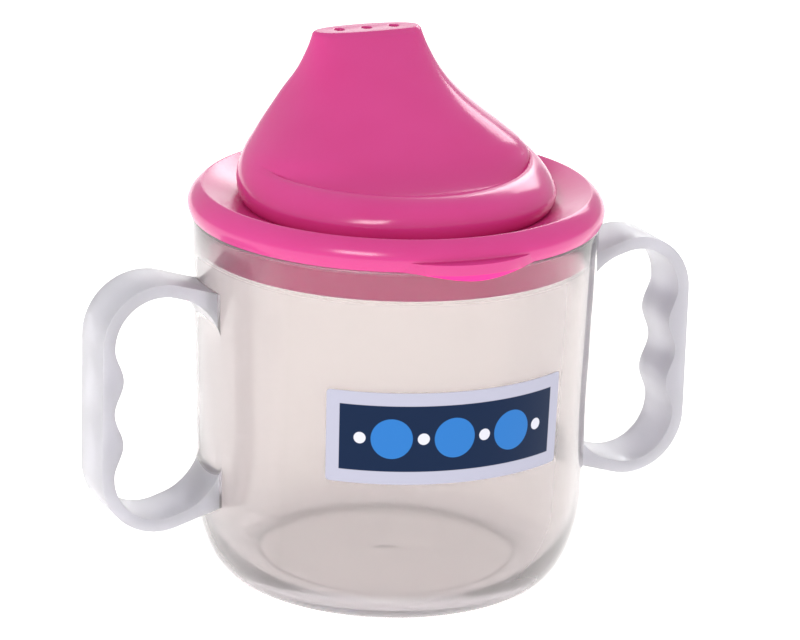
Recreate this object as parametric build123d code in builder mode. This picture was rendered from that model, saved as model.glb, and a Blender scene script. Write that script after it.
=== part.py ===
from build123d import *
from math import cos, radians, sin, tan
import os

# Two-handled toddler cup with a push-on spout lid, in millimetres, +Z up.
# The origin is the centre of the foot ring's face, on the cup's axis. The handles lie along X.
# The lid's pull tab points along -Y, where the label is, and its spout leans towards +Y.

# Cup: a drafted round wall over an elliptical base corner and a foot ring
cup_height = 73.0
rim_radius = 40.0
cup_wall = 1.6
draft = 1.4  # degrees that the wall leans in towards the foot
corner_height = 18.5
corner_reach = 8.9  # how far the base corner brings the foot in from the wall
foot_ring = 3.6
foot_recess = 1.2
cup_floor = 1.8
floor_margin = 1.2  # between the foot's outer edge and the flat floor's edge
gate_radius = 2.4  # round gate mark under the floor
gate_depth = 0.4
rim_round = 0.6
mouth_round = 0.3

# Handles: a flat strap that leaves the wall, bends down and returns
handle_reach = 23.0  # grip's outside beyond the rim's radius
handle_width = 12.0
handle_thickness = 2.5
handle_below_rim = 8.0
handle_above_foot = 15.0
handle_round = 0.8
bend_radius = 12.0
strap_slope = 17.0  # degrees that each strap falls back towards the wall
root_fillet = 6.0
root_depth = 6.0  # how far the strap's outline runs inside the wall before it is cut back
gap_depth = 0.8  # how far the finger gap's outline does
finger_pitch = 13.0
finger_bump = 1.8

# Label: a thin film on the wall
label_height = 18.4
label_middle = 39.8
label_angle = 72.7
label_turn = -6.0  # degrees about Z from straight ahead
label_film = 0.12

# Lid: plug, seat flange and bead, sunken ring, domed shoulder
lid_wall = 1.6
plug_depth = 6.2
plug_clearance = 0.08
plug_lead = 0.4
lip_overhang = 0.4
bead_overhang = 0.9
bead_widest = 2.2  # height of its widest line above the rim
bead_height = 5.9
bead_crest = 2.8  # crest in from the bead's widest line
ring_width = 8.0
ring_fall = 3.2
dome_bulge = 1.2
dome_waist = 3.2  # height of the dome's widest line above its foot
dome_height = 6.4
shoulder_width = 3.5
dish_depth = 1.1
dish_slope = 8.0  # width of the slope from the shoulder down to the dish

# Spout: a hood that rises from the dome's top to a flat oval tip
spout_height = 33.6  # tip above the rim
spout_sink = 0.8  # how far the hood starts below the dish
tip_length = 22.6
tip_depth = 7.5
tip_offset = 16.6
tip_round = 0.5
foot_front = -18.0
foot_back = 29.3
foot_widest = 1.5
foot_margin = 0.8  # hood's flank in from the dome's widest line
spout_inset = 1.1  # how far the hollow stands in from each outer section
hole_radius = 1.0
hole_pitch = 5.85
hole_chamfer = 0.3
# Each section of the hood: how far up it is, and how much of the foot's spread it keeps
hood_sections = [(0, 1), (0.14, 0.95), (0.3, 0.74), (0.5, 0.43), (0.68, 0.2), (0.86, 0.06), (1, 0)]

# Pull tab: a crescent under the bead
tab_reach = 2.2
tab_radius = 28.0
tab_drop = 1.2
tab_rise = 1.3
tab_clearance = 0.4

QUARTER = 0.5523  # handle share with which a cubic follows a quarter of an ellipse


def wall_radius(height):
    """Outside radius of the drafted wall at a height."""
    return rim_radius - (cup_height - height) * tan(radians(draft))


def quarter(start, corner, end, share=QUARTER):
    """A quarter round from start to end whose end tangents meet at corner."""
    first, middle, last = Vector(*start), Vector(*corner), Vector(*end)
    return Bezier(first, first + (middle - first) * share, last + (middle - last) * share, last)


# Values that several pieces share
foot_radius = wall_radius(corner_height) - corner_reach
floor_top = foot_recess + cup_floor
mouth_radius = rim_radius - cup_wall
bead_radius = rim_radius + bead_overhang
crest_radius = bead_radius - bead_crest
crest_top = cup_height + bead_height
dome_foot = crest_radius - ring_width
dome_base = crest_top - ring_fall
dome_radius = dome_foot + dome_bulge
dome_top = dome_base + dome_height
dish_top = dome_top - dish_depth
spout_top = cup_height + spout_height

# Cup body

with BuildPart() as cup_outside:
    with BuildSketch(Plane.XZ):
        with BuildLine():
            corner_top = (wall_radius(corner_height), corner_height)
            Line((0, 0), (foot_radius, 0))
            quarter((foot_radius, 0), (wall_radius(0), 0), corner_top)
            Polyline(corner_top, (rim_radius, cup_height), (0, cup_height), (0, 0))
        make_face()
    revolve(axis=Axis.Z)

with BuildPart() as cup_body:
    add(cup_outside.part)
    with BuildSketch(Plane.XZ):
        with BuildLine():
            floor_edge = (foot_radius - floor_margin, floor_top)
            corner_top = (wall_radius(corner_height) - cup_wall, corner_height)
            Line((0, floor_top), floor_edge)
            quarter(floor_edge, (wall_radius(floor_top) - cup_wall, floor_top), corner_top)
            Polyline(corner_top, (mouth_radius, cup_height), (0, cup_height), (0, floor_top))
        make_face()
    revolve(axis=Axis.Z, mode=Mode.SUBTRACT)
    fillet(cup_body.edges().group_by(Axis.Z)[-1].sort_by(SortBy.RADIUS)[-1], rim_round)
    fillet(cup_body.edges().group_by(Axis.Z)[-1].sort_by(SortBy.RADIUS)[0], mouth_round)
    with BuildSketch():
        Circle(foot_radius - foot_ring)
    extrude(amount=foot_recess, mode=Mode.SUBTRACT)
    with BuildSketch(Plane.XY.offset(foot_recess)):
        Circle(gate_radius)
    extrude(amount=gate_depth, mode=Mode.SUBTRACT)
cup_body.part.label = "cup_body"

# Handles

grip_outside = rim_radius + handle_reach
bend_x = grip_outside - bend_radius
upper_bend = (bend_x, cup_height - handle_below_rim - bend_radius)
lower_bend = (bend_x, handle_above_foot + bend_radius)
bend_angle = 90 + strap_slope


def strap_line(start, end_x, direction):
    """Straight strap edge from start back to end_x, falling towards the wall."""
    run = (start.X - end_x) / cos(radians(strap_slope))
    return PolarLine(start, run, direction)


def handle_edges(inset, depth):
    """Both bends and strap edges, moved in by inset, to a line at a depth inside the wall."""
    radius = bend_radius - inset
    upper = CenterArc(upper_bend, radius, 0, bend_angle)
    lower = CenterArc(lower_bend, radius, -bend_angle, bend_angle)
    upper_end = wall_radius(upper_bend[1]) - depth
    lower_end = wall_radius(lower_bend[1]) - depth
    upper_strap = strap_line(upper @ 1, upper_end, 180 + strap_slope)
    lower_strap = strap_line(lower @ 0, lower_end, 180 - strap_slope)
    Line(upper_strap @ 1, lower_strap @ 1)
    return lower @ 1, upper @ 0


with BuildPart() as right_handle:
    with BuildSketch(Plane.XZ) as handle_side:
        with BuildLine():
            grip_low, grip_high = handle_edges(0, root_depth)
            Line(grip_low, grip_high)
        make_face()
        with BuildSketch(mode=Mode.PRIVATE) as finger_gap:
            with BuildLine():
                grip_low, grip_high = handle_edges(handle_thickness, gap_depth)
                rise = grip_high - grip_low
                bumps = max(1, round(rise.length / finger_pitch))
                scallops = [grip_low + rise * step / (2 * bumps) for step in range(2 * bumps + 1)]
                scallops[1::2] = [point - Vector(finger_bump, 0) for point in scallops[1::2]]
                Spline(*scallops, tangents=[(0, 1), (0, 1)])
            make_face()
            fillet(finger_gap.vertices().sort_by(Axis.X)[:2], root_fillet)
        add(finger_gap.sketch, mode=Mode.SUBTRACT)
    extrude(amount=handle_width / 2, both=True)
    fillet(right_handle.faces().filter_by(Axis.Y).edges(), handle_round)
    add(cup_outside.part, mode=Mode.SUBTRACT)
right_handle.part.label = "right_handle"

with BuildPart() as left_handle:
    add(right_handle.part.mirror(Plane.YZ))
left_handle.part.label = "left_handle"

# Label

label_start = -90 + label_turn - label_angle / 2
label_plane = Plane(
    origin=(0, 0, 0),
    x_dir=(cos(radians(label_start)), sin(radians(label_start)), 0),
    z_dir=(sin(radians(label_start)), -cos(radians(label_start)), 0),
)
with BuildPart() as printed_label:
    with BuildSketch(label_plane):
        with BuildLine():
            low, high = label_middle - label_height / 2, label_middle + label_height / 2
            Polyline(
                (wall_radius(low), low),
                (wall_radius(low) + label_film, low),
                (wall_radius(high) + label_film, high),
                (wall_radius(high), high),
                close=True,
            )
        make_face()
    revolve(axis=Axis.Z, revolution_arc=label_angle)
printed_label.part.label = "printed_label"

# Lid


def lid_profile():
    """Outside of the lid from its axis out to the bead and down to the plug."""
    widest = (bead_radius, cup_height + bead_widest)
    crest = (crest_radius, crest_top)
    foot = (dome_foot, dome_base)
    waist = (dome_radius, dome_base + dome_waist)
    shoulder = (dome_radius - shoulder_width, dome_top)
    lip = (rim_radius + lip_overhang, cup_height)
    dish = (shoulder[0] - dish_slope, dish_top)
    plug_low = cup_height - plug_depth
    plug_edge = wall_radius(plug_low) - cup_wall - plug_clearance
    Polyline((0, plug_low), (plug_edge - plug_lead, plug_low), (plug_edge, plug_low + plug_lead))
    Line((plug_edge, plug_low + plug_lead), (mouth_radius - plug_clearance, cup_height))
    Line((mouth_radius - plug_clearance, cup_height), lip)
    quarter(lip, (bead_radius, cup_height + bead_overhang - lip_overhang), widest)
    quarter(widest, (bead_radius, crest_top), crest)
    Line(crest, foot)
    quarter(foot, (dome_radius, dome_base + dome_bulge), waist)
    quarter(waist, (dome_radius, dome_top), shoulder)
    Polyline(shoulder, dish, (0, dish_top), (0, plug_low))


def hollow_profile():
    """Inside of the lid, one wall in from its outside."""
    plug_low = cup_height - plug_depth
    skirt = mouth_radius - plug_clearance - lid_wall
    fall = ring_fall / ring_width
    under_ring = crest_top - lid_wall * (1 + fall**2) ** 0.5
    neck = dome_foot - lid_wall
    waist = (dome_radius - lid_wall, dome_base + dome_waist)
    shoulder = (dome_radius - shoulder_width, dome_top - lid_wall)
    dish = (shoulder[0] - dish_slope, dish_top - lid_wall)
    Polyline(
        (0, plug_low),
        (wall_radius(plug_low) - cup_wall - plug_clearance - lid_wall, plug_low),
        (skirt, cup_height),
        (skirt, under_ring - (crest_radius - skirt) * fall),
        (neck, under_ring - (crest_radius - neck) * fall),
        (neck, dome_base),
    )
    quarter((neck, dome_base), (waist[0], dome_base + dome_bulge), waist)
    quarter(waist, (waist[0], shoulder[1]), shoulder)
    Polyline(shoulder, dish, (0, dish[1]), (0, plug_low))


def hood_section(rise, flare, drop, inset):
    """One level outline of the hood, lowered by drop and moved in by inset."""
    low = dish_top - spout_sink
    foot_half = dome_radius - foot_margin
    tip_half = tip_length / 2
    tip_front, tip_back = tip_offset - tip_depth / 2, tip_offset + tip_depth / 2
    half = tip_half + (foot_half - tip_half) * flare - inset
    front = foot_front + (tip_front - foot_front) * rise + inset
    back = tip_back + (foot_back - tip_back) * (1 - rise**1.5) - inset
    widest = foot_widest + (tip_offset - foot_widest) * sin(radians(90 * rise))
    with BuildSketch(Plane.XY.offset(low + (spout_top - low) * rise - drop)) as outline:
        with BuildLine():
            quarter((half, widest), (half, front), (0, front), 0.74)
            quarter((0, front), (-half, front), (-half, widest), 0.74)
            quarter((-half, widest), (-half, back), (0, back), 0.6)
            quarter((0, back), (half, back), (half, widest), 0.6)
        make_face()
    return outline.sketch


with BuildPart() as lid:
    with BuildSketch(Plane.XZ):
        with BuildLine():
            lid_profile()
        make_face()
    revolve(axis=Axis.Z)
    loft([hood_section(rise, flare, 0, 0) for rise, flare in hood_sections])
    fillet(lid.edges().group_by(Axis.Z)[-1], tip_round)
    with BuildSketch(Plane.XY.offset(cup_height - tab_drop)):
        with Locations((0, tab_radius - bead_radius - tab_reach)):
            Circle(tab_radius)
        Circle(rim_radius + tab_clearance, mode=Mode.SUBTRACT)
        with Locations((0, rim_radius)):
            Rectangle(4 * rim_radius, 2 * rim_radius, mode=Mode.SUBTRACT)
    extrude(amount=tab_drop + tab_rise)
    with BuildSketch(Plane.XZ):
        with BuildLine():
            hollow_profile()
        make_face()
    revolve(axis=Axis.Z, mode=Mode.SUBTRACT)
    loft(
        [hood_section(rise, flare, lid_wall, spout_inset) for rise, flare in hood_sections],
        mode=Mode.SUBTRACT,
    )
    with BuildSketch(Plane.XY.offset(spout_top)):
        with Locations((0, tip_offset)):
            with GridLocations(hole_pitch, 0, 3, 1):
                Circle(hole_radius)
    extrude(amount=-2 * lid_wall, mode=Mode.SUBTRACT)
    hole_rims = lid.edges().filter_by(GeomType.CIRCLE).group_by(Axis.Z)[-1]
    chamfer(hole_rims, hole_chamfer)
lid.part.label = "lid"

os.makedirs("parts", exist_ok=True)
export_step(cup_body.part, "parts/cup_body.step")
export_step(left_handle.part, "parts/left_handle.step")
export_step(right_handle.part, "parts/right_handle.step")
export_step(printed_label.part, "parts/printed_label.step")
export_step(lid.part, "parts/lid.step")
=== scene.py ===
"""A two-handled toddler cup with a push-on spout lid, standing in a plain studio.

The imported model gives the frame, in metres, with the cup's axis on Z and the handles along X. Three
pieces stand for its five nodes: the cup with the handles moulded on it, the label on its wall, and
the lid with its spout. Sizes are written in millimetres and become metres as they are drawn.
"""

from __future__ import annotations

import logging
import math
from collections.abc import Iterable, Sequence
from dataclasses import dataclass, replace
from enum import Enum

import bmesh
import bpy
from mathutils import Matrix, Vector

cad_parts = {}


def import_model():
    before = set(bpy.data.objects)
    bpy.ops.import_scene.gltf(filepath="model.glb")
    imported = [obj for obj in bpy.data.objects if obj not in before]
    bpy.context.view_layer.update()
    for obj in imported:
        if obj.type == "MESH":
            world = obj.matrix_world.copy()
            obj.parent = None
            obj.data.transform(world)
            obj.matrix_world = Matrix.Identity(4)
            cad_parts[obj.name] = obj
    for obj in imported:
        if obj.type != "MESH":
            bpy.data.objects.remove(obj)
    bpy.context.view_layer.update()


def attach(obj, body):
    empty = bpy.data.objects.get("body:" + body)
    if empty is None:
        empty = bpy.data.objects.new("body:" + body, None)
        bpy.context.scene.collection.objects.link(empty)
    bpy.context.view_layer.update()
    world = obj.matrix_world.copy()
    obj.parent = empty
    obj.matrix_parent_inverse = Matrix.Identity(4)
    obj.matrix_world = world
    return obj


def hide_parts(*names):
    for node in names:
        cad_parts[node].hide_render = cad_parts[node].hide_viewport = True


log = logging.getLogger("toddler_cup")

MM = 0.001
ROUND = 144  # steps round a turned shape: a facet of the rim is under 2 mm long
QUARTER = 0.5523  # pull of a cubic that follows a quarter of an ellipse
SETTLED = 0.62  # share of a change after which it has eased out
SAME = 1e-7  # m within which two vertices are one

Point = tuple[float, float]  # mm
Mesh = bmesh.types.BMesh
Vert = bmesh.types.BMVert
Piece = bpy.types.Object
Tree = bpy.types.NodeTree
Socket = bpy.types.NodeSocket
Source = Socket | float | tuple  # what a node's input takes: a linked output or a constant


class Body(str, Enum):
    """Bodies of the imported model."""

    CUP = "cup"
    LID = "lid"


class Slot(str, Enum):
    """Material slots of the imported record."""

    CLEAR = "clear_polypropylene"
    PINK = "pink_polypropylene"
    FILM = "label_film"


class Cut(str, Enum):
    """What a tool does to the shape it is put to."""

    JOIN = "UNION"
    REMOVE = "DIFFERENCE"


# Drawing and shaping


def ease(share: float) -> float:
    """A share held between 0 and 1, with a soft start and end."""
    held = min(max(share, 0.0), 1.0)
    return held * held * (3 - 2 * held)


def mix(first: float, last: float, share: float) -> float:
    """The value that lies a share of the way from first to last."""
    return first + (last - first) * share


def vertices(made: Iterable) -> list[Vert]:
    """The vertices among what an operator made."""
    return [item for item in made if isinstance(item, Vert)]


def shift(mesh: Mesh, verts: Sequence[Vert], *offset: float) -> None:
    """Moves vertices along X, Y and Z, in millimetres."""
    bmesh.ops.translate(mesh, verts=verts, vec=tuple(value * MM for value in offset))


def outward(mesh: Mesh) -> Mesh:
    """Turns a closed mesh's faces outward and gives it back."""
    bmesh.ops.recalc_face_normals(mesh, faces=mesh.faces)
    return mesh


class Contour:
    """A line of edges in the XZ plane, drawn point by point and then turned or made a slab."""

    def __init__(self, start: Point) -> None:
        """Puts down the first point.

        Args:
            start: its x and z in millimetres.
        """
        self.mesh = bmesh.new()
        self.first = self.mesh.verts.new((start[0] * MM, 0, start[1] * MM))
        self.last = self.first

    def line(self, *points: Point) -> Contour:
        """Draws straight edges through points.

        Args:
            points: x and z of each, in millimetres.

        Returns:
            The contour, to draw on.
        """
        for x, z in points:
            self.last = bmesh.ops.extrude_vert_indiv(self.mesh, verts=[self.last])["verts"][0]
            self.last.co = (x * MM, 0, z * MM)
        return self

    def curve(self, corner: Point, end: Point, steps: int = 8) -> Contour:
        """Draws a quarter of an ellipse, whose end tangents meet at a corner.

        Args:
            corner: x and z where the tangents meet.
            end: x and z of its end.
            steps: how many edges it takes.

        Returns:
            The contour, to draw on.
        """
        start = (self.last.co.x / MM, self.last.co.z / MM)
        for step in range(1, steps + 1):
            angle = step / steps * math.pi / 2
            self.line(
                tuple(
                    s + (c - s) * math.sin(angle) + (e - c) * (1 - math.cos(angle))
                    for s, c, e in zip(start, corner, end)
                )
            )
        return self

    def arc(self, centre: Point, degrees: float, steps: int = 12) -> Contour:
        """Draws an arc of a circle.

        Args:
            centre: x and z of its centre.
            degrees: how far it turns, with a positive turn from X towards Z.
            steps: how many edges it takes.

        Returns:
            The contour, to draw on.
        """
        made = bmesh.ops.spin(
            self.mesh,
            geom=[self.last],
            cent=(centre[0] * MM, 0, centre[1] * MM),
            axis=(0, -1, 0),
            angle=math.radians(degrees),
            steps=steps,
        )
        self.last = vertices(made["geom_last"])[0]
        return self

    def points(self) -> list[Point]:
        """The drawn points from first to last, in millimetres."""
        self.mesh.verts.ensure_lookup_table()
        return [(vert.co.x / MM, vert.co.z / MM) for vert in self.mesh.verts]

    def turned(self, steps: int = ROUND) -> Mesh:
        """Turns the contour once round Z.

        Args:
            steps: how many steps the turn takes.

        Returns:
            The turned mesh, with its poles and seam closed.
        """
        bmesh.ops.spin(
            self.mesh,
            geom=self.mesh.verts[:] + self.mesh.edges[:],
            cent=(0, 0, 0),
            axis=(0, 0, 1),
            angle=2 * math.pi,
            steps=steps,
            use_merge=True,
        )
        bmesh.ops.remove_doubles(self.mesh, verts=self.mesh.verts, dist=SAME)
        return self.mesh

    def slab(self, width: float, rounding: float, steps: int = 3) -> Mesh:
        """Closes the contour and gives it a width along Y, with its long edges rounded.

        Args:
            width: in millimetres, half on each side.
            rounding: radius of the long edges.
            steps: edges across each rounding.

        Returns:
            The closed slab.
        """
        mesh = self.mesh
        mesh.edges.new((self.last, self.first))
        side = bmesh.ops.contextual_create(mesh, geom=mesh.edges[:])["faces"]
        shift(mesh, mesh.verts, 0, -width / 2, 0)
        made = bmesh.ops.extrude_face_region(mesh, geom=side, use_keep_orig=True)["geom"]
        shift(mesh, vertices(made), 0, width, 0)
        outward(mesh)
        rims = [edge for edge in mesh.edges if len({round(v.co.y, 6) for v in edge.verts}) == 1]
        bevel(mesh, rims, rounding, steps)
        return mesh


def bevel(mesh: Mesh, edges: Sequence, width: float, steps: int) -> None:
    """Rounds edges.

    Args:
        mesh: what they belong to.
        edges: the edges.
        width: the rounding's reach in millimetres.
        steps: edges across the rounding.
    """
    bmesh.ops.bevel(
        mesh,
        geom=edges,
        affect="EDGES",
        offset=width * MM,
        offset_type="OFFSET",
        segments=steps,
        profile=0.5,
        material=-1,
        clamp_overlap=True,
    )


def ring_at(mesh: Mesh, radius: float, height: float) -> list[Vert]:
    """Finds a turned shape's vertices at a radius and height, in order round Z.

    Args:
        mesh: the turned shape.
        radius: their distance from the axis in millimetres.
        height: their height in millimetres.

    Returns:
        The vertices by angle.
    """
    spot = Vector((radius, height)) * MM
    there = [v for v in mesh.verts if (Vector((v.co.xy.length, v.co.z)) - spot).length < 1e-6]
    return sorted(there, key=lambda vert: math.atan2(vert.co.y, vert.co.x))


def raise_ring(mesh: Mesh, ring: list[Vert], shape: Section) -> list[Vert]:
    """Extrudes a ring of vertices on to the next outline.

    Args:
        mesh: what the ring belongs to.
        ring: its vertices in order.
        shape: the outline that the new ring takes.

    Returns:
        The new ring's vertices in the same order.
    """
    edges = [mesh.edges.get(pair) for pair in zip(ring, ring[1:] + ring[:1])]
    fresh = set(vertices(bmesh.ops.extrude_edge_only(mesh, edges=edges)["geom"]))
    above = []
    for vert in ring:
        others = (edge.other_vert(vert) for edge in vert.link_edges)
        above.append(next(other for other in others if other in fresh))
    for index, vert in enumerate(above):
        vert.co = shape.at(2 * math.pi * index / len(above) - math.pi)
    return above


def cap(mesh: Mesh, ring: list[Vert]) -> None:
    """Closes a flat ring with one face."""
    edges = [mesh.edges.get(pair) for pair in zip(ring, ring[1:] + ring[:1])]
    bmesh.ops.contextual_create(mesh, geom=edges)


def as_object(mesh: Mesh, name: str) -> Piece:
    """Makes an object of a mesh, in the scene and at the origin.

    Args:
        mesh: the shape, which is freed.
        name: the object's name.

    Returns:
        The object.
    """
    data = bpy.data.meshes.new(name)
    mesh.to_mesh(data)
    mesh.free()
    piece = bpy.data.objects.new(name, data)
    bpy.context.scene.collection.objects.link(piece)
    return piece


def combine(base: Piece, tools: Iterable[Piece], cut: Cut) -> Piece:
    """Joins tools to a shape or takes them out of it, and removes the tools.

    Args:
        base: the shape.
        tools: what is put to it.
        cut: whether they are joined or removed.

    Returns:
        The same object with its new mesh.
    """
    for tool in tools:
        step = base.modifiers.new(cut.name, "BOOLEAN")
        step.operation = cut.value
        step.solver = "EXACT"
        step.object = tool
        bpy.context.view_layer.update()
        finished = base.evaluated_get(bpy.context.evaluated_depsgraph_get())
        data = bpy.data.meshes.new_from_object(finished)
        base.modifiers.clear()
        old, base.data = base.data, data
        bpy.data.meshes.remove(old)
        bpy.data.objects.remove(tool)
    return base


def smooth(piece: Piece, sharp: float) -> None:
    """Shades a piece smooth, apart from edges over an angle.

    Args:
        piece: the piece.
        sharp: the angle in degrees.
    """
    piece.data.polygons.foreach_set("use_smooth", [True] * len(piece.data.polygons))
    piece.data.set_sharp_from_angle(angle=math.radians(sharp))
    piece.data.update()


@dataclass(frozen=True)
class Section:
    """One outline of the lid's top: a rounded oval whose height may change round it, in mm."""

    half: float
    front: float
    widest: float
    back: float
    front_pull: float
    back_pull: float
    side_height: float
    front_height: float
    back_height: float

    def at(self, angle: float) -> Vector:
        """The outline's point at an angle about Z.

        Args:
            angle: in radians, from X.

        Returns:
            The point in metres.
        """
        across, along = math.cos(angle), math.sin(angle)
        share = math.atan2(abs(along), abs(across)) / (math.pi / 2)
        rest = 1 - share
        ahead = along < 0
        pull = self.front_pull if ahead else self.back_pull
        reach = rest**3 + 3 * rest**2 * share + 3 * rest * share**2 * pull
        depth = share**3 + 3 * share**2 * rest + 3 * share * rest**2 * pull
        end = self.front if ahead else self.back
        height = self.front_height if ahead else self.back_height
        x = math.copysign(self.half * reach, across)
        y = mix(self.widest, end, depth)
        return Vector((x, y, mix(self.side_height, height, ease(share / SETTLED)))) * MM

    def inside(self, inset: float, drop: float) -> Section:
        """The same outline moved in and down, in millimetres."""
        return replace(
            self,
            half=self.half - inset,
            front=self.front + inset,
            back=self.back - inset,
            side_height=self.side_height - drop,
            front_height=self.front_height - drop,
            back_height=self.back_height - drop,
        )


# Finishes


def linear(code: str) -> tuple[float, float, float, float]:
    """An sRGB colour, #RRGGBB, as the linear red, green, blue and alpha that shaders take."""
    parts = [int(code[place : place + 2], 16) / 255 for place in (1, 3, 5)]
    return *(p / 12.92 if p <= 0.04045 else ((p + 0.055) / 1.055) ** 2.4 for p in parts), 1.0


def node(tree: Tree, kind: str, settings: dict | None = None, **sockets: Source) -> bpy.types.Node:
    """Adds a node.

    Args:
        tree: the node tree.
        kind: the node's type.
        settings: properties of the node by name.
        sockets: inputs by name, with _ for a space, or by i and the input's number.

    Returns:
        The node.
    """
    made = tree.nodes.new(kind)
    for name, value in (settings or {}).items():
        setattr(made, name, value)
    for name, value in sockets.items():
        key = int(name[1:]) if name[0] == "i" and name[1:].isdigit() else name.replace("_", " ")
        if isinstance(value, Socket):
            tree.links.new(value, made.inputs[key])
        else:
            made.inputs[key].default_value = value
    return made


def new_material(name: str) -> tuple[bpy.types.Material, Tree]:
    """An empty node material.

    Args:
        name: its name.

    Returns:
        The material and its tree.
    """
    material = bpy.data.materials.new(name)
    material.use_nodes = True
    material.node_tree.nodes.clear()
    return material, material.node_tree


def maths(tree: Tree, kind: str, *values: Source) -> Socket:
    """The output of a Math node that works on values."""
    sockets = {f"i{place}": value for place, value in enumerate(values)}
    return node(tree, "ShaderNodeMath", {"operation": kind}, **sockets).outputs[0]


def ranged(tree: Tree, value: Source, low: float, high: float, *ends: Source) -> Socket:
    """A value mapped from low and high to the two ends, and held there beyond them."""
    sockets = {"From_Min": low, "From_Max": high, "To_Min": ends[0], "To_Max": ends[1]}
    return node(tree, "ShaderNodeMapRange", {"clamp": True}, Value=value, **sockets).outputs[0]


def blend(tree: Tree, share: Source, first: Source, second: Source) -> Socket:
    """A colour that holds a share of the second and the rest of the first."""
    made = node(tree, "ShaderNodeMix", {"data_type": "RGBA"}, i0=share, i6=first, i7=second)
    return made.outputs[2]


def noise(tree: Tree, place: Socket, size: float, detail: float = 2.0) -> Socket:
    """Noise whose features are a size across in millimetres, with finer layers of detail."""
    made = node(tree, "ShaderNodeTexNoise", Vector=place, Scale=1 / (size * MM), Detail=detail)
    return made.outputs["Fac"]


def stretch(tree: Tree, place: Socket, scale: tuple, turn: tuple = (0.0, 0.0, 0.0)) -> Socket:
    """Coordinates turned by radians and scaled, below 1 where a pattern is drawn out."""
    sockets = {"Vector": place, "Rotation": turn, "Scale": scale}
    return node(tree, "ShaderNodeMapping", {"vector_type": "POINT"}, **sockets).outputs["Vector"]


def bump(tree: Tree, height: Socket, strength: float, distance: float) -> Socket:
    """The shading normal, tilted by a height that spans a distance in millimetres."""
    sockets = {"Height": height, "Strength": strength, "Distance": distance * MM}
    return node(tree, "ShaderNodeBump", **sockets).outputs["Normal"]


def principled(tree: Tree, volume: bpy.types.Node | None = None, **sockets: Source) -> None:
    """Ends a material in a Principled surface.

    Args:
        tree: the node tree.
        volume: the node of what fills the piece, if anything does.
        sockets: the surface's inputs, as node takes them.
    """
    scattering = {"subsurface_method": "RANDOM_WALK"}
    surface = node(tree, "ShaderNodeBsdfPrincipled", scattering, **sockets)
    inside = {"Volume": volume.outputs["Volume"]} if volume else {}
    node(tree, "ShaderNodeOutputMaterial", Surface=surface.outputs["BSDF"], **inside)


@dataclass(frozen=True)
class PinkPolypropylene:
    """Pigmented polypropylene, injection moulded in a polished tool.

    The pigment gives a strong even pink, and the polished tool a gloss with a slight waviness. A
    little light enters the surface, which keeps the shaded folds saturated.
    """

    colour: str = "#D63C8A"
    pale: str = "#DA4290"
    scuff: str = "#F6C3DA"
    plug: str = "#FF1C96"  # painted light: a brighter pink below the plug's top, where the thin plug shows through the cup's wall, for light that would pass through the shaded plug
    plug_top: float = 73.0  # mm
    roughness: float = 0.17
    flow: float = 26.0  # mm between the soft changes of pigment
    peel: float = 2.4  # mm across the waviness left by the tool
    cloud: float = 7.0  # mm across the patches of duller gloss
    scuff_spacing: float = 5.0  # mm
    scuff_patch: float = 14.0  # mm across the patches where scuffs show
    scuff_edge: Point = (0.02, 0.045)  # share of their spacing where a scuff fades out
    scuff_share: float = 0.55  # how much of the scuff's colour shows

    def make(self) -> bpy.types.Material:
        """Builds the material.

        Returns:
            The material.
        """
        material, tree = new_material("pink_polypropylene_moulded_gloss")
        place = node(tree, "ShaderNodeTexCoord").outputs["Object"]
        share = ranged(tree, noise(tree, place, self.flow), 0.35, 0.65, 0.0, 1.0)
        colour = blend(tree, share, linear(self.colour), linear(self.pale))
        # Handling leaves short hairlines and specks, a few tenths of a millimetre wide
        hairs = node(
            tree,
            "ShaderNodeTexVoronoi",
            {"feature": "F1"},
            Vector=stretch(tree, place, (1.0, 1.0, 0.12), (0.3, 0.5, 0.9)),
            Scale=1 / (self.scuff_spacing * MM),
        )
        hair = ranged(tree, hairs.outputs["Distance"], *self.scuff_edge, 1.0, 0.0)
        patches = noise(tree, place, self.scuff_patch, 1.0)
        few = ranged(tree, patches, 0.56, 0.62, 0.0, self.scuff_share)
        worn = maths(tree, "MULTIPLY", hair, few)
        colour = blend(tree, worn, colour, linear(self.scuff))
        # Painted light: below the plug's top the pink turns brighter, standing in for light that
        # reaches the thin plug, which lies in shade under the flange
        height = node(tree, "ShaderNodeSeparateXYZ", Vector=place).outputs["Z"]
        top = self.plug_top * MM
        thin = ranged(tree, height, top - 0.1 * MM, top + 0.02 * MM, 1.0, 0.0)
        colour = blend(tree, thin, colour, linear(self.plug))
        dull = noise(tree, place, self.cloud, 3.0)
        principled(
            tree,
            Base_Color=colour,
            Roughness=ranged(tree, dull, 0.3, 0.7, self.roughness - 0.03, self.roughness + 0.05),
            IOR=1.49,
            Subsurface_Weight=0.18,
            Subsurface_Radius=(1.0, 0.25, 0.45),
            Subsurface_Scale=1.6 * MM,
            Normal=bump(tree, noise(tree, place, self.peel, 1.0), 0.12, 0.05),
        )
        return material


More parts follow.
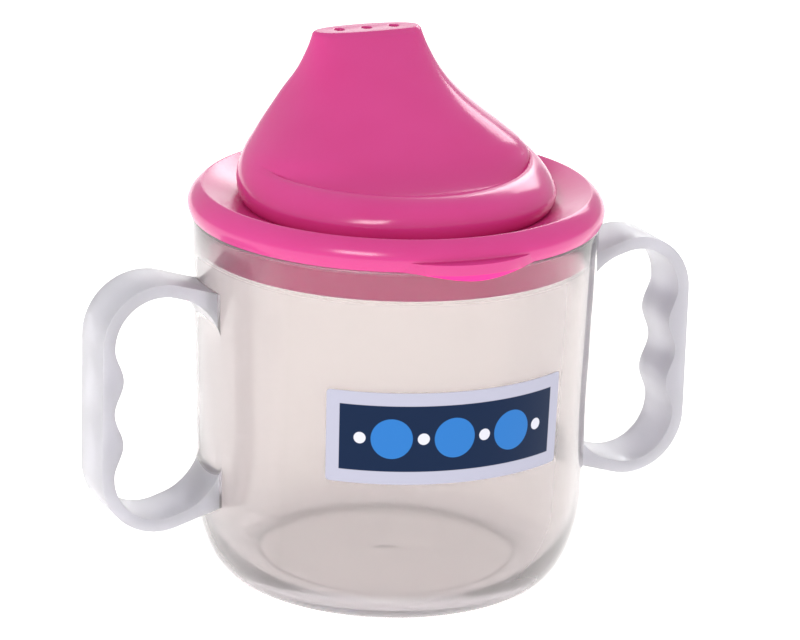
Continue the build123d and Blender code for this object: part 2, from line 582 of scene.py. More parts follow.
@dataclass(frozen=True)
class ClearPolypropylene:
    """Natural polypropylene, injection moulded, with no pigment.

    Its crystals scatter light, so a thin wall is clear with a warm haze, and the thick handles and
    foot turn milky. A long way through it darkens towards grey lavender.
    """

    thin: str = "#E8E2DF"
    thick: str = "#DDDCE2"
    lavender: str = "#DCD8E6"
    density: float = 75.0  # absorption per metre
    axis_reach: float = 38.22  # mm from the axis that the wall's line meets the ground
    draft: float = 0.02444  # how far the wall leans out for each step up
    foot: float = 7.0  # mm up to which the thick foot and corner look milky
    foot_milk: float = 0.36
    rim: float = 72.2  # mm above which the rounded rim looks milky: a painted highlight for the light that it refracts
    rim_painted_light: float = 0.6
    root: Point = (32.0, 39.5)  # mm to each side over which the wall behind the roots does
    root_milk: float = 0.2
    plug_foot: float = 66.6  # mm above which the lid's plug lies against the wall
    patch: float = 9.0  # mm across the patches of duller gloss
    flow: float = 11.0  # mm across the waves that the melt leaves
    open_wall: float = 0.87  # how much light the hazy wall lets straight through
    open_plug: float = 0.99  # the same where the plug lies against it
    open_milk: float = 0.5  # and where it is thick

    def make(self) -> bpy.types.Material:
        """Builds the material.

        Returns:
            The material.
        """
        material, tree = new_material("clear_polypropylene_moulded_hazy")
        place = node(tree, "ShaderNodeTexCoord").outputs["Object"]
        parts = node(tree, "ShaderNodeSeparateXYZ", Vector=place).outputs
        x, height = parts["X"], parts["Z"]
        product, length = {"operation": "MULTIPLY"}, {"operation": "LENGTH"}
        level = node(tree, "ShaderNodeVectorMath", product, i0=place, i1=(1.0, 1.0, 0.0))
        reach = node(tree, "ShaderNodeVectorMath", length, i0=level.outputs[0]).outputs["Value"]
        # How far a point stands out of the wall's line: the handles do, the wall doesn't
        proud = maths(tree, "MULTIPLY_ADD", height, -self.draft, reach)
        line = self.axis_reach * MM
        milky = ranged(tree, proud, line + 0.2 * MM, line + 0.7 * MM, 0.0, 1.0)
        near, far = (side * MM for side in self.root)
        for more in (
            ranged(tree, height, 0.0, self.foot * MM, self.foot_milk, 0.0),
            # Painted highlight: the rim's top band is made paler and hazier, standing in for light
            # that the rounded rim refracts
            ranged(tree, height, self.rim * MM, (self.rim + 0.5) * MM, 0.0, self.rim_painted_light),
            ranged(tree, maths(tree, "ABSOLUTE", x), near, far, 0.0, self.root_milk),
        ):
            milky = maths(tree, "MAXIMUM", milky, more)
        rough = ranged(tree, noise(tree, place, self.patch), 0.3, 0.7, 0.05, 0.09)
        # Where the lid's plug touches it, the wall shows the plug's colour through its haze
        low, high = ((self.plug_foot + side) * MM for side in (-0.3, 0.3))
        wetted = ranged(tree, height, low, high, self.open_wall, self.open_plug)
        # The melt's flow leaves long soft waves in the wall
        flow = noise(tree, stretch(tree, place, (1.0, 1.0, 0.35)), self.flow)
        principled(
            tree,
            volume=node(
                tree,
                "ShaderNodeVolumeAbsorption",
                Color=linear(self.lavender),
                Density=self.density,
            ),
            Base_Color=blend(tree, milky, linear(self.thin), linear(self.thick)),
            Roughness=maths(tree, "MULTIPLY_ADD", milky, 0.3, rough),
            IOR=1.49,
            Transmission_Weight=ranged(tree, milky, 0.0, 1.0, wetted, self.open_milk),
            Subsurface_Weight=1.0,
            Subsurface_Radius=(1.0, 1.0, 1.0),
            Subsurface_Scale=4 * MM,
            Coat_Weight=0.3,
            Coat_Roughness=0.05,
            Coat_IOR=1.49,
            Normal=bump(tree, flow, 0.2, 0.08),
        )
        return material


@dataclass(frozen=True)
class Spots:
    """Every other spot of the printed row."""

    tone: str
    radius: float  # mm
    shift: float  # mm along the row from its middle
    margin: float  # mm inside the panel's end where the row stops


@dataclass(frozen=True)
class PrintedFilm:
    """Polypropylene label film, screen printed and heat set on the wall.

    The ink lies flat under a satin face: a pale border round a navy panel with a row of round
    spots, sky blue and white by turns. Its back is bare and white.
    """

    pale: str = "#BABACC"
    back: str = "#F4F4F8"
    navy: str = "#0D2343"
    border: float = 2.6  # mm
    ink_edge: float = 0.06  # mm over which printed ink ends
    pitch: float = 12.2  # mm from a spot to the next of its colour
    spots: tuple[Spots, ...] = (
        Spots("#2F78C4", 4.0, 0.0, 2.8),
        Spots("#DCDDE8", 1.15, 6.1, 1.0),
    )
    grain: float = 4.0  # features of the satin face to a millimetre

    def make(self, width: float, height: float) -> bpy.types.Material:
        """Builds the material.

        Args:
            width: the film's width along the wall, in millimetres.
            height: its height.

        Returns:
            The material.
        """
        material, tree = new_material("printed_polypropylene_film_satin")
        chart = node(tree, "ShaderNodeUVMap", {"uv_map": "film"}).outputs["UV"]
        parts = node(tree, "ShaderNodeSeparateXYZ", Vector=chart)
        across, up = parts.outputs["X"], parts.outputs["Y"]
        off_x, off_y = maths(tree, "ABSOLUTE", across), maths(tree, "ABSOLUTE", up)
        # The panel: inside the border on both sides
        end, side, soft = width / 2 - self.border, height / 2 - self.border, self.ink_edge
        panel_x = ranged(tree, off_x, end - soft, end + soft, 1.0, 0.0)
        panel_y = ranged(tree, off_y, side - soft, side + soft, 1.0, 0.0)
        panel = maths(tree, "MULTIPLY", panel_x, panel_y)
        ink = blend(tree, panel, linear(self.pale), linear(self.navy))
        # The row: the width is folded into one pitch for each colour of spot
        for row in self.spots:
            folded = maths(tree, "PINGPONG", maths(tree, "ADD", across, row.shift), self.pitch / 2)
            square = maths(tree, "MULTIPLY_ADD", folded, folded, maths(tree, "MULTIPLY", up, up))
            distance = maths(tree, "SQRT", square)
            spot = ranged(tree, distance, row.radius - 0.05, row.radius + 0.05, 1.0, 0.0)
            last = end - row.margin
            kept = ranged(tree, off_x, last, last + 0.1, 1.0, 0.0)
            ink = blend(tree, maths(tree, "MULTIPLY", spot, kept), ink, linear(row.tone))
        # The film's back, seen through the cup, is bare
        place = node(tree, "ShaderNodeTexCoord").outputs
        product = {"operation": "DOT_PRODUCT"}
        facing = node(tree, "ShaderNodeVectorMath", product, i0=place["Normal"], i1=place["Object"])
        back = ranged(tree, facing.outputs["Value"], -1 * MM, 1 * MM, 1.0, 0.0)
        grain = node(tree, "ShaderNodeTexNoise", Vector=chart, Scale=self.grain, Detail=3.0)
        principled(
            tree,
            Base_Color=blend(tree, back, ink, linear(self.back)),
            Roughness=ranged(tree, grain.outputs["Fac"], 0.3, 0.7, 0.3, 0.38),
            IOR=1.47,
            Specular_IOR_Level=0.12,
            Normal=bump(tree, grain.outputs["Fac"], 0.1, 0.02),
        )
        return material


@dataclass(frozen=True)
class PaperSweep:
    """White studio paper: matt, even and a little warm."""

    colour: str = "#F7F6F5"
    glow: float = 0.84  # paper lit from below, as on a shooting table
    fibre: float = 3.0  # mm

    def make(self) -> bpy.types.Material:
        """Builds the material.

        Returns:
            The material.
        """
        material, tree = new_material("studio_paper_matt")
        place = node(tree, "ShaderNodeTexCoord").outputs["Object"]
        principled(
            tree,
            Base_Color=linear(self.colour),
            Roughness=ranged(tree, noise(tree, place, self.fibre), 0.3, 0.7, 0.85, 0.95),
            Specular_IOR_Level=0.1,
            Emission_Color=linear(self.colour),
            Emission_Strength=self.glow,
        )
        return material


# The cup


@dataclass
class Cup:
    """The drafted cup with its foot ring and both handles, moulded in one."""

    height: float = 73.0
    rim_radius: float = 40.0
    wall: float = 1.6
    draft: float = 1.4  # degrees
    corner_height: float = 18.5
    corner_reach: float = 8.9
    foot_ring: float = 3.6
    foot_recess: float = 1.2
    foot_round: float = 0.5  # inside the ring
    floor: float = 1.8
    floor_margin: float = 1.2
    floor_middle: float = 12.0  # a ring of vertices that keeps the floor's facets short
    gate_radius: float = 2.4
    gate_depth: float = 0.4
    edge_round: float = 0.3  # mouth, foot and gate
    rim_round: float = 0.6
    wall_rings: tuple[int, ...] = (26, 34, 42, 50, 58, 66)  # heights of the wall's vertices
    handle_reach: float = 23.0
    handle_width: float = 12.0
    handle_thickness: float = 2.5
    handle_below_rim: float = 8.0
    handle_above_foot: float = 15.0
    handle_round: float = 0.8
    bend_radius: float = 12.0
    strap_slope: float = 17.0  # degrees
    root_round: float = 6.0
    root_depth: float = 0.9  # how far the strap's outside runs into the wall
    pad_depth: float = 0.8  # and its inside
    pad_end: float = 1.0  # past the strap's corner
    finger_bumps: int = 2
    finger_bump: float = 1.8
    outer_steps: int = 18  # edges round a bend's outside, and along a finger bump
    inner_steps: int = 16  # round its inside
    root_steps: int = 12

    def radius(self, height: float) -> float:
        """The wall's outside radius at a height, in millimetres."""
        return self.rim_radius - (self.height - height) * math.tan(math.radians(self.draft))

    def shell(self) -> Mesh:
        """The cup without handles, turned from its wall's contour.

        Returns:
            The closed shell.
        """
        top, wall, recess_top = self.height, self.wall, self.foot_recess
        edge, inside = self.edge_round, self.foot_round
        outside = self.radius(self.corner_height)
        foot = outside - self.corner_reach
        recess = foot - self.foot_ring
        floor_top = recess_top + self.floor
        gate, gate_top = self.gate_radius, recess_top + self.gate_depth
        # The underside: the gate's mark, the recess, and the foot ring. Short edges beside each
        # rounding keep the flats' shading level
        contour = Contour((0, gate_top)).line((gate - edge, gate_top))
        contour.curve((gate, gate_top), (gate, recess_top + 0.1), 3)
        contour.line((gate + 0.15, recess_top), (gate + 0.5, recess_top))
        contour.line((self.floor_middle, recess_top))
        contour.line((recess - inside - 0.4, recess_top), (recess - inside, recess_top))
        contour.curve((recess, recess_top), (recess, recess_top - inside), 4)
        contour.line((recess, edge)).curve((recess, 0), (recess + edge, 0), 3)
        contour.line((foot - 0.4, 0), (foot, 0))
        # Up the outside, over the rim and down the inside to the floor
        contour.curve((self.radius(0), 0), (outside, self.corner_height), 22)
        for height in (*self.wall_rings, top - wall, top - self.rim_round):
            contour.line((self.radius(height), height))
        rim, mouth = self.rim_radius, self.rim_radius - wall
        contour.curve((rim, top), (rim - self.rim_round, top), 5)
        contour.line((mouth + edge, top)).curve((mouth, top), (mouth, top - edge), 3)
        for height in (*reversed(self.wall_rings), self.corner_height):
            contour.line((self.radius(height) - wall, height))
        corner = (self.radius(floor_top) - wall, floor_top)
        contour.curve(corner, (foot - self.floor_margin, floor_top), 20)
        contour.line((recess - 1.5, floor_top), (self.floor_middle, floor_top), (0, floor_top))
        return outward(contour.turned())

    def handle(self) -> Mesh:
        """The right handle: a strap round two bends, with finger bumps inside its grip.

        Returns:
            The closed strap, with its ends in the wall.
        """
        slope = math.radians(self.strap_slope)
        turn = 90 + self.strap_slope
        outer_x = self.rim_radius + self.handle_reach
        inner_x = outer_x - self.handle_thickness
        bend, inner = self.bend_radius, self.bend_radius - self.handle_thickness
        bend_x = outer_x - bend
        high = self.height - self.handle_below_rim - bend
        low = self.handle_above_foot + bend

        def strap_end(radius: float, centre: float, sign: int, x: float) -> Point:
            """Where a strap edge that leaves a bend's rim reaches x."""
            run = (bend_x - radius * math.sin(slope) - x) * math.tan(slope)
            return x, centre + sign * (radius * math.cos(slope) - run)

        # The outside runs from deep in the wall round both bends and back
        deep_high = self.radius(high + bend) - self.root_depth
        deep_low = self.radius(low - bend) - self.root_depth
        contour = Contour(strap_end(bend, high, 1, deep_high))
        contour.line((bend_x - bend * math.sin(slope), high + bend * math.cos(slope)))
        contour.arc((bend_x, high), -turn, self.outer_steps)
        contour.line((outer_x, mix(high, low, 0.5)), (outer_x, low))
        contour.arc((bend_x, low), -turn, self.outer_steps)
        contour.line(strap_end(bend, low, -1, deep_low))
        # The inside comes back: a root rounding, the bends, and the bumps between them
        reach = self.root_round / math.tan((math.pi / 2 - slope) / 2)
        for sign, centre in ((-1, low), (1, high)):
            wall_x = self.radius(centre) - self.pad_depth
            corner = strap_end(inner, centre, sign, wall_x)
            run, climb = reach * math.cos(slope), sign * reach * math.sin(slope)
            on_strap = (corner[0] + run, corner[1] + climb)
            on_wall = (wall_x, corner[1] - sign * reach)
            if sign < 0:
                bend_end = (bend_x - inner * math.sin(slope), low - inner * math.cos(slope))
                contour.line((wall_x, corner[1] - self.pad_end), on_wall)
                contour.curve(corner, on_strap, self.root_steps)
                contour.line(bend_end).arc((bend_x, low), turn, self.inner_steps)
                steps = self.outer_steps * self.finger_bumps
                for step in range(1, steps):
                    share = step / steps
                    wave = (1 - math.cos(2 * math.pi * share * self.finger_bumps)) / 2
                    contour.line((inner_x - self.finger_bump * wave, mix(low, high, share)))
                contour.line((inner_x, high))
            else:
                contour.arc((bend_x, high), turn, self.inner_steps)
                contour.line(on_strap).curve(corner, on_wall, self.root_steps)
                contour.line((wall_x, corner[1] + self.pad_end))
        return contour.slab(self.handle_width, self.handle_round)

    def build(self, finish: ClearPolypropylene) -> Piece:
        """Makes the cup one closed piece, dressed and riding on its body.

        Args:
            finish: what it is moulded in.

        Returns:
            The piece.
        """
        left = self.handle()
        bmesh.ops.scale(left, vec=(-1, 1, 1), verts=left.verts)
        handles = [as_object(self.handle(), "right_grip"), as_object(outward(left), "left_grip")]
        cup = combine(as_object(self.shell(), "cup_with_handles"), handles, Cut.JOIN)
        smooth(cup, 35)
        cup.data.materials.append(finish.make())
        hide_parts("cup_body", "left_handle", "right_handle")
        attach(cup, Body.CUP.value)
        return cup


@dataclass
class Label:
    """The printed film on the cup's front wall."""

    cup: Cup
    height: float = 18.4
    middle: float = 39.8  # above the ground
    angle: float = 72.7  # degrees of the wall that it covers
    turn: float = -6.0  # degrees about Z
    film: float = 0.12  # from the wall to its face
    lift: float = 0.02  # keeps the film's back off the wall's facets
    corner: float = 0.7

    def build(self, finish: PrintedFilm) -> Piece:
        """Makes the film, bent round the wall.

        Args:
            finish: its print.

        Returns:
            The piece.
        """
        radius = self.cup.radius(self.middle)
        width = math.radians(self.angle) * radius
        mesh = bmesh.new()
        bmesh.ops.create_grid(mesh, x_segments=60, y_segments=6, size=0.5)
        bmesh.ops.scale(mesh, vec=(width, self.height, 1), verts=mesh.verts)
        bmesh.ops.bevel(
            mesh,
            geom=[vert for vert in mesh.verts if len(vert.link_faces) == 1],
            affect="VERTICES",
            offset=self.corner,
            segments=4,
            profile=0.5,
            material=-1,
        )
        chart = mesh.loops.layers.uv.new("film")
        for face in mesh.faces:
            for loop in face.loops:
                loop[chart].uv = loop.vert.co.xy
        for vert in mesh.verts:
            angle = math.radians(self.turn - 90) + vert.co.x / radius
            height = self.middle + vert.co.y
            out = self.cup.radius(height) + self.lift
            vert.co = Vector((out * math.cos(angle), out * math.sin(angle), height)) * MM
        outward(mesh)
        if sum(face.normal.dot(face.calc_center_median()) for face in mesh.faces) < 0:
            bmesh.ops.reverse_faces(mesh, faces=mesh.faces)
        bmesh.ops.solidify(mesh, geom=mesh.faces[:], thickness=-(self.film - self.lift) * MM)
        label = as_object(outward(mesh), "printed_film")
        smooth(label, 40)
        label.data.materials.append(finish.make(width, self.height))
        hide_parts("printed_label")
        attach(label, Body.CUP.value)
        return label


# The lid


@dataclass
class Lid:
    """The push-on lid: plug, bead, sunken ring, domed shoulder, hooded spout and pull tab."""

    cup: Cup
    seat: float = 0.03  # keeps the flange's face off the cup's rim
    wall: float = 1.6
    plug_depth: float = 6.2
    plug_clearance: float = 0.08
    plug_round: float = 0.4
    edge_round: float = 0.3  # under the flange
    lip_overhang: float = 0.4
    bead_overhang: float = 0.9
    bead_start: float = 1.2  # height at which its outside leaves the flange's lip
    bead_widest: float = 2.2
    bead_height: float = 5.9
    bead_crest: float = 2.8
    bead_climb: float = 0.6  # slope at which its outside reaches the crest
    crest_round: float = 0.22  # at the bead's crest
    ring_width: float = 8.0
    ring_fall: float = 3.2
    ring_hold: float = 0.35  # keeps the ring flat beside the dome's foot
    dome_bulge: float = 1.2
    dome_waist: float = 3.2
    dome_height: float = 6.4
    dome_wall: float = 1.25
    neck_bevel: float = 0.8  # inside, where the skirt meets the ring
    dish_depth: float = 1.1
    spout_height: float = 33.6
    spout_sink: float = 0.8
    tip_length: float = 22.6
    tip_depth: float = 7.5
    tip_offset: float = 16.6
    tip_round: float = 0.5
    foot_front: float = -18.0
    foot_back: float = 29.3
    foot_widest: float = 1.5
    foot_margin: float = 0.8
    hood_start: float = 0.24  # rise at which the shoulder has become the hood
    hood_steps: int = 22
    crest_height: float = 83.6  # top of the rounded bead across the hood's front
    crest_reach: float = 26.0
    crest_fall: float = 20.0  # degrees that its back falls into the valley
    crest_pull: float = 0.46  # keeps its crest concentric with the dome
    flank_lift: float = 0.3  # how much higher its ends lie
    flank_power: float = 1.8  # above 1, the flanks stay wide before they turn in
    valley_near: float = 2.4  # how far the valley's rounding reaches up the bead
    valley_far: float = 7.0  # and up the hood
    hole_radius: float = 1.0
    hole_pitch: float = 5.85
    hole_round: float = 0.3
    hole_depth: float = 3.0
    tab_reach: float = 2.2
    tab_radius: float = 20.0
    tab_turn: float = -3.0  # degrees about Z
    tab_drop: float = 1.2
    tab_rise: float = 2.0
    tab_round: float = 0.5
    tab_clearance: float = 0.2
    # How far up the hood is, and how much of the foot's spread it keeps there
    flare: tuple[Point, ...] = (
        (0, 1), (0.14, 0.945), (0.3, 0.72), (0.5, 0.405), (0.68, 0.185), (0.86, 0.06), (1, 0)
    )

    def __post_init__(self) -> None:
        """Works out the heights and radii that the lid's parts share."""
        self.rim = self.cup.height
        self.bead_radius = self.cup.rim_radius + self.bead_overhang
        self.crest_radius = self.bead_radius - self.bead_crest
        self.crest_top = self.rim + self.bead_height
        self.ring_slope = self.ring_fall / self.ring_width
        self.dome_foot = self.crest_radius - self.ring_width
        self.dome_base = self.crest_top - self.ring_fall
        self.dome_radius = self.dome_foot + self.dome_bulge
        self.waist_height = self.dome_base + self.dome_waist
        self.dish_top = self.dome_base + self.dome_height - self.dish_depth
        self.hood_low = self.dish_top - self.spout_sink
        self.spout_top = self.rim + self.spout_height
        self.plug_low = self.rim - self.plug_depth
        self.plug_edge = self.cup.radius(self.plug_low) - self.cup.wall - self.plug_clearance
        self.plug_top = self.cup.rim_radius - self.cup.wall - self.plug_clearance

    def spread(self, rise: float) -> float:
        """How much of the foot's spread the hood keeps, through smooth keys.

        Args:
            rise: from 0 at the hood's foot to 1 at its tip.

        Returns:
            The share of the spread.
        """
        keys = self.flare
        spot = next(place for place in range(1, len(keys)) if rise <= keys[place][0] + 1e-9)
        (start, first), (end, last) = keys[spot - 1], keys[spot]

        def slope(place: int) -> float:
            """The curve's slope at a key, level at the foot."""
            (x0, y0), (x1, y1) = keys[max(place - 1, 0)], keys[min(place + 1, len(keys) - 1)]
            return (y1 - y0) / (x1 - x0) if place else 0.0

        span = end - start
        share = (rise - start) / span
        rest = 1 - share
        return (
            first * rest * rest * (1 + 2 * share)
            + last * share * share * (3 - 2 * share)
            + slope(spot - 1) * span * share * rest * rest
            - slope(spot) * span * share * share * rest
        )

    def hood(self, rise: float) -> Section:
        """The hood's level outline.

        Args:
            rise: from 0 at the hood's foot to 1 at its tip.

        Returns:
            The outline.
        """
        foot_half = self.dome_radius - self.foot_margin
        tip_front = self.tip_offset - self.tip_depth / 2
        tip_back = self.tip_offset + self.tip_depth / 2
        height = mix(self.hood_low, self.spout_top, rise)
        return Section(
            half=mix(self.tip_length / 2, foot_half, self.spread(rise)),
            front=mix(self.foot_front, tip_front, rise),
            widest=mix(self.foot_widest, self.tip_offset, ease(rise / SETTLED)),
            back=tip_back + (self.foot_back - tip_back) * (1 - rise**1.5),
            front_pull=0.74,
            back_pull=0.6,
            side_height=height,
            front_height=height,
            back_height=height,
        )

    def ridge(self, joined: Section) -> tuple[list[Point], int]:
        """The line along the front's middle, from the dome up over the bead and into the hood.

        Args:
            joined: the hood's outline where it ends.

        Returns:
            Its points, each a distance ahead of the axis and a height, and the crest's place.
        """
        foot = self.hood(0)
        tip_front = self.tip_offset - self.tip_depth / 2
        tilt = math.atan2(self.spout_top - self.hood_low, tip_front - self.foot_front)
        fall = math.radians(self.crest_fall)
        # Where the hood's front meets the dish
        valley = (-foot.front - (self.dish_top - self.hood_low) / math.tan(tilt), self.dish_top)
        near, far = self.valley_near, self.valley_far
        into = (valley[0] + near * math.cos(fall), valley[1] + near * math.sin(fall))
        out = (valley[0] - far * math.cos(tilt), valley[1] + far * math.sin(tilt))
        crest = (self.crest_reach, self.crest_height)
        turn = (into[0] + (crest[1] - into[1]) / math.tan(fall), crest[1])
        line = Contour((self.dome_radius, self.waist_height))
        line.curve((self.dome_radius, crest[1]), crest, 11)
        risen = len(line.points()) - 1
        line.curve(turn, into, 6).curve(valley, out, 9)
        points = line.line((-joined.front, joined.front_height)).points()
        line.mesh.free()
        return points, risen

    def shoulder(self) -> list[Section]:
        """The outlines from the dome's widest line, over the front bead and into the hood.

        In front they round the shoulder, cross the dish and turn up the hood. On the flanks and
        behind they run straight up into it.

        Returns:
            The outlines above the dome's widest line.
        """
        radius, waist = self.dome_radius, self.waist_height
        joined = self.hood(self.hood_start)
        front, risen = self.ridge(joined)
        flank = self.crest_height + self.flank_lift
        rings = []
        for place, (reach, height) in enumerate(front[1:], 1):
            if place <= risen:
                side = height + self.flank_lift * ease(place / risen)
                pull = mix(QUARTER, self.crest_pull, place / risen)
            else:
                over = (place - risen) / (len(front) - 1 - risen)
                side = mix(flank, joined.side_height, over)
                pull = mix(self.crest_pull, joined.front_pull, ease(over * 1.2))
            share = (side - waist) / (joined.side_height - waist)
            rings.append(
                Section(
                    half=mix(radius, joined.half, share**self.flank_power),
                    front=-reach,
                    widest=mix(0, joined.widest, share),
                    back=mix(radius, joined.back, share),
                    front_pull=pull,
                    back_pull=mix(QUARTER, joined.back_pull, share),
                    side_height=side,
                    front_height=height,
                    back_height=side,
                )
            )
        return rings

    def top(self) -> list[Section]:
        """Every outline of the lid's top, from above the dome's widest line to the tip.

        Returns:
            The outlines from low to high.
        """
        steps, rounding = self.hood_steps, self.tip_round
        rings = self.shoulder()
        rings += [self.hood(mix(self.hood_start, 1, step / steps)) for step in range(1, steps)]
        edge = self.spout_top - rounding
        rings = [ring for ring in rings if ring.side_height < edge - 0.2]
        rings.append(self.hood((edge - self.hood_low) / (self.spout_top - self.hood_low)))
        last = self.hood(1)
        for step in range(1, 4):
            angle = step / 3 * math.pi / 2
            inset, drop = 1 - math.cos(angle), 1 - math.sin(angle)
            rings.append(last.inside(rounding * inset, rounding * drop))
        rings.append(last.inside(rounding + 0.2, 0))
        return rings

    def base_outside(self) -> Contour:
        """The contour from the plug's foot out round the bead and in to the dome's widest line.

        Returns:
            The contour.
        """
        low, edge, plug = self.plug_low, self.plug_edge, self.plug_top
        seat, soft = self.rim + self.seat, self.edge_round
        lip = self.cup.rim_radius + self.lip_overhang
        widest = (self.bead_radius, self.rim + self.bead_widest)
        contour = Contour((edge - self.wall, low)).line((edge - self.plug_round, low))
        contour.curve((edge, low), (edge, low + self.plug_round), 3)
        contour.line((plug, seat - soft)).curve((plug, seat), (plug + 0.2, seat), 2)
        contour.line((lip - soft, seat)).curve((lip, seat), (lip + 0.02, seat + soft), 3)
        contour.curve((self.bead_radius, self.rim + self.bead_start), widest, 5)
        fall, climb, tight = self.ring_slope, self.bead_climb, self.crest_round
        crest = (self.crest_radius, self.crest_top)
        turn = (self.bead_radius, self.crest_top - self.bead_crest * climb)
        contour.curve(turn, (crest[0] + tight, crest[1] - tight * climb), 14)
        contour.curve(crest, (crest[0] - tight, crest[1] - tight * fall), 4)
        for step in (0.33, 0.66):
            reach = self.ring_width * step
            contour.line((self.crest_radius - reach, self.crest_top - reach * fall))
        contour.line((self.dome_foot + self.ring_hold, self.dome_base + self.ring_hold * fall))
        contour.line((self.dome_foot, self.dome_base))
        corner = (self.dome_radius, self.dome_base + self.dome_bulge)
        return contour.curve(corner, (self.dome_radius, self.waist_height), 10)

    def base_inside(self) -> Contour:
        """The contour from the plug's foot up inside the bead to the dome's inner wall.

        Returns:
            The contour.
        """
        skirt = self.plug_top - self.wall
        fall, bevelled = self.ring_slope, self.neck_bevel
        under = self.crest_top - self.wall * math.hypot(1, fall)
        neck = self.dome_foot - self.wall
        contour = Contour((self.plug_edge - self.wall, self.plug_low)).line((skirt, self.rim))
        contour.line((skirt, under - (self.crest_radius - skirt) * fall - bevelled))
        contour.line((skirt - bevelled, under - (self.crest_radius - skirt + bevelled) * fall))
        contour.line((neck, under - (self.crest_radius - neck) * fall), (neck, self.dome_base))
        waist = (self.dome_radius - self.wall, self.waist_height - self.dome_bulge)
        return contour.curve((waist[0], self.dome_base + self.dome_bulge), waist, 6)

    def skin(self, inner: bool) -> Mesh:
        """One face of the lid's wall, from the plug's foot to the closed tip.

        Args:
            inner: whether it is the hollow's face.

        Returns:
            The open mesh, with its edge at the plug's foot.
        """
        if inner:
            mesh, thin, tip = self.base_inside().turned(), self.dome_wall, self.hood(1)
            waist = self.waist_height - self.dome_bulge
            ring = ring_at(mesh, self.dome_radius - self.wall, waist)
            outlines = [outline.inside(thin, thin) for outline in self.top()[:-5:2]]
            outlines += [tip.inside(inset, self.wall) for inset in (thin, self.wall)]
        else:
            mesh = self.base_outside().turned()
            ring = ring_at(mesh, self.dome_radius, self.waist_height)
            outlines = self.top()
        for outline in outlines:
            ring = raise_ring(mesh, ring, outline)
        cap(mesh, ring)
        return mesh

    def body(self) -> Mesh:
        """The lid's wall, without its tab and holes.

        Returns:
            The closed mesh.
        """
        mesh = self.skin(inner=False)
        hollow = self.skin(inner=True)
        carried = bpy.data.meshes.new("hollow")
        hollow.to_mesh(carried)
        hollow.free()
        mesh.from_mesh(carried)
        bpy.data.meshes.remove(carried)
        bmesh.ops.remove_doubles(mesh, verts=mesh.verts, dist=SAME)
        return outward(mesh)

    def drill(self, x: float) -> Mesh:
        """A flow hole's tool: a pin that flares softly at the tip's face.

        Args:
            x: where it stands, in millimetres.

        Returns:
            The closed tool.
        """
        top, radius, flare = self.spout_top, self.hole_radius, self.hole_round
        low = top - self.hole_depth
        contour = Contour((0, low)).line((radius, low), (radius, top - flare))
        contour.curve((radius, top), (radius + flare, top), 4)
        contour.line((radius + flare + 0.1, top + 0.4), (0, top + 0.4))
        mesh = outward(contour.turned(32))
        shift(mesh, mesh.verts, x, self.tip_offset, 0)
        return mesh

    def tab(self) -> Mesh:
        """The crescent under the bead that a finger lifts.

        Returns:
            The closed crescent, with its back in the bead.
        """
        centre = self.tab_radius - self.bead_radius - self.tab_reach
        inside = self.cup.rim_radius + self.tab_clearance
        # The crescent's tips are where its outer circle meets the circle that clears the cup
        y = (centre**2 + inside**2 - self.tab_radius**2) / (2 * centre)
        x = math.sqrt(inside**2 - y**2)
        outer, inner = 2 * math.atan2(x, centre - y), 2 * math.atan2(x, -y)
        mesh = bmesh.new()
        start = tip = mesh.verts.new((-x * MM, y * MM, 0))
        for middle, angle in ((centre, outer), (0, -inner)):
            pivot = {"cent": (0, middle * MM, 0), "axis": (0, 0, 1)}
            made = bmesh.ops.spin(mesh, geom=[tip], angle=angle, steps=40, **pivot)
            tip = made["geom_last"][0]
        bmesh.ops.pointmerge(mesh, verts=[start, tip], merge_co=start.co)
        face = bmesh.ops.contextual_create(mesh, geom=mesh.edges[:])["faces"]
        made = bmesh.ops.extrude_face_region(mesh, geom=face, use_keep_orig=True)["geom"]
        shift(mesh, vertices(made), 0, 0, self.tab_drop + self.tab_rise)
        shift(mesh, mesh.verts, 0, 0, self.rim - self.tab_drop)
        outward(mesh)
        edges = [
            edge
            for edge in mesh.edges
            if abs(edge.verts[0].co.z - edge.verts[1].co.z) < SAME
            and all(vert.co.xy.length > (inside + 0.25) * MM for vert in edge.verts)
        ]
        bevel(mesh, edges, self.tab_round, 4)
        # Its underside climbs to the flange's face at the tips
        for vert in mesh.verts:
            if vert.co.z < self.rim * MM:
                share = ease(abs(vert.co.x) / (x * MM))
                vert.co.z = mix(vert.co.z, (self.rim + 0.1) * MM, share)
        turn = Matrix.Rotation(math.radians(self.tab_turn), 3, "Z")
        bmesh.ops.rotate(mesh, cent=(0, 0, 0), matrix=turn, verts=mesh.verts)
        return mesh

    def build(self, finish: PinkPolypropylene) -> Piece:
        """Makes the lid one closed piece, dressed and riding on its body.

        Args:
            finish: what it is moulded in.

        Returns:
            The piece.
        """
        lid = as_object(self.body(), "lid_with_spout")
        combine(lid, [as_object(self.tab(), "pull_tab")], Cut.JOIN)
        drills = [as_object(self.drill(place * self.hole_pitch), "drill") for place in (-1, 0, 1)]
        combine(lid, drills, Cut.REMOVE)
        smooth(lid, 40)
        lid.data.materials.append(finish.make())
        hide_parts("lid")
        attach(lid, Body.LID.value)
        return lid


# The studio


@dataclass(frozen=True)
class Panel:
    """A square-cornered softbox that faces the cup."""

    name: str
    place: tuple[float, float, float]  # m
    size: tuple[float, float]  # m
    power: float  # W

    def build(self, aim: Vector) -> None:
        """Hangs the panel.

        Args:
            aim: the point that it faces, in metres.
        """
        light = bpy.data.lights.new(self.name, "AREA")
        light.shape = "RECTANGLE"
        light.size, light.size_y = self.size
        light.energy = self.power
        lamp = bpy.data.objects.new(self.name, light)
        lamp.location = self.place
        lamp.rotation_euler = (aim - Vector(self.place)).to_track_quat("-Z", "Y").to_euler()
        lamp.visible_camera = False
        bpy.context.scene.collection.objects.link(lamp)


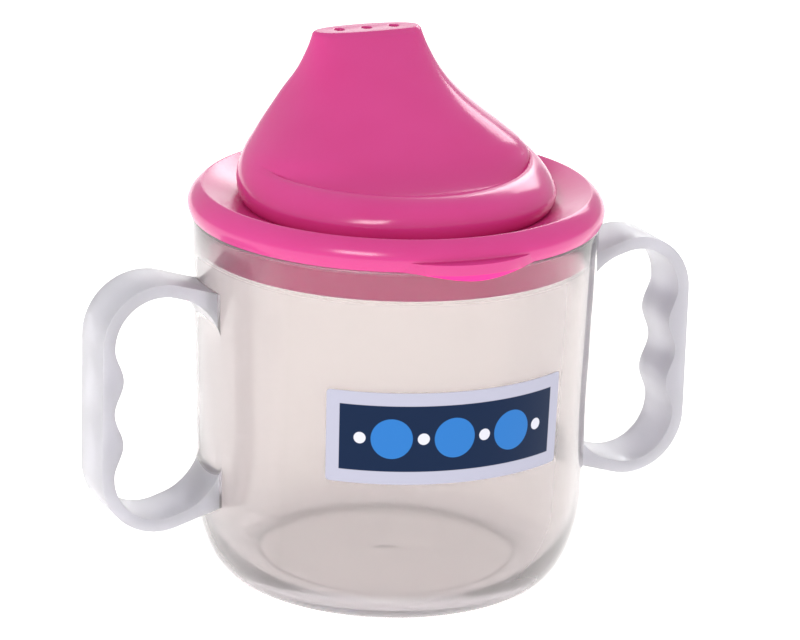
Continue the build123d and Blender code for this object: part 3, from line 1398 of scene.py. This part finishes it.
@dataclass
class Studio:
    """A pale paper floor, even light and the camera."""

    azimuth: float = 24.5  # degrees that the camera stands to the left of straight ahead
    distance: float = 752.0  # mm along the floor
    camera_height: float = 288.7
    aim: tuple[float, float, float] = (1.29, -0.59, 51.08)
    roll: float = 1.727  # degrees
    lens: float = 179.46
    sensor: float = 36.0
    paper_radius: float = 3000.0
    paper_drop: float = 0.02  # keeps the paper off the foot ring's face
    sky: float = 0.66
    sky_colour: str = "#FFFFFF"
    panels: tuple[Panel, ...] = (
        Panel("front_left", (-0.93, -0.88, 1.04), (0.56, 0.36), 6.9),
        Panel("back_right", (0.78, 0.75, 0.63), (0.55, 0.36), 2.6),
        Panel("backdrop", (0.52, 1.14, 0.42), (0.85, 0.8), 1.9),
    )
    panel_aim: float = 60.0  # mm above the ground

    def floor(self) -> None:
        """Lays the paper."""
        mesh, radius = bmesh.new(), self.paper_radius * MM
        bmesh.ops.create_circle(mesh, cap_ends=True, segments=96, radius=radius)
        shift(mesh, mesh.verts, 0, 0, -self.paper_drop)
        paper = as_object(mesh, "paper_floor")
        paper.data.materials.append(PaperSweep().make())

    def light(self) -> None:
        """Hangs the softboxes and fills the rest evenly."""
        world = bpy.data.worlds.new("even_white")
        world.use_nodes = True
        inputs = world.node_tree.nodes["Background"].inputs
        inputs["Color"].default_value = linear(self.sky_colour)
        inputs["Strength"].default_value = self.sky
        bpy.context.scene.world = world
        for panel in self.panels:
            panel.build(Vector((0, 0, self.panel_aim * MM)))

    def camera(self) -> None:
        """Sets the camera up, a little rolled."""
        turn = math.radians(self.azimuth)
        x, y = -self.distance * math.sin(turn), -self.distance * math.cos(turn)
        place = Vector((x, y, self.camera_height))
        data = bpy.data.cameras.new("studio_camera")
        data.lens = self.lens
        data.sensor_width = self.sensor
        data.clip_start, data.clip_end = 0.01, 20
        viewer = bpy.data.objects.new("studio_camera", data)
        look = (Vector(self.aim) - place).to_track_quat("-Z", "Y").to_matrix()
        look = look @ Matrix.Rotation(math.radians(self.roll), 3, "Z")
        viewer.matrix_world = Matrix.Translation(place * MM) @ look.to_4x4()
        bpy.context.scene.collection.objects.link(viewer)
        bpy.context.scene.camera = viewer

    def build(self) -> None:
        """Sets the studio up."""
        self.camera()
        self.floor()
        self.light()
        bpy.context.scene.view_settings.view_transform = "Standard"


def main() -> None:
    """Builds the cup, its label, the lid and the studio."""
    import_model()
    Studio().build()
    cup = Cup()
    pieces = [
        cup.build(ClearPolypropylene()),
        Label(cup).build(PrintedFilm()),
        Lid(cup).build(PinkPolypropylene()),
    ]
    for piece in pieces:
        log.info("%s: %d faces", piece.name, len(piece.data.polygons))


if __name__ == "__main__":
    logging.basicConfig(level=logging.INFO, format="%(name)s %(message)s")
    main()
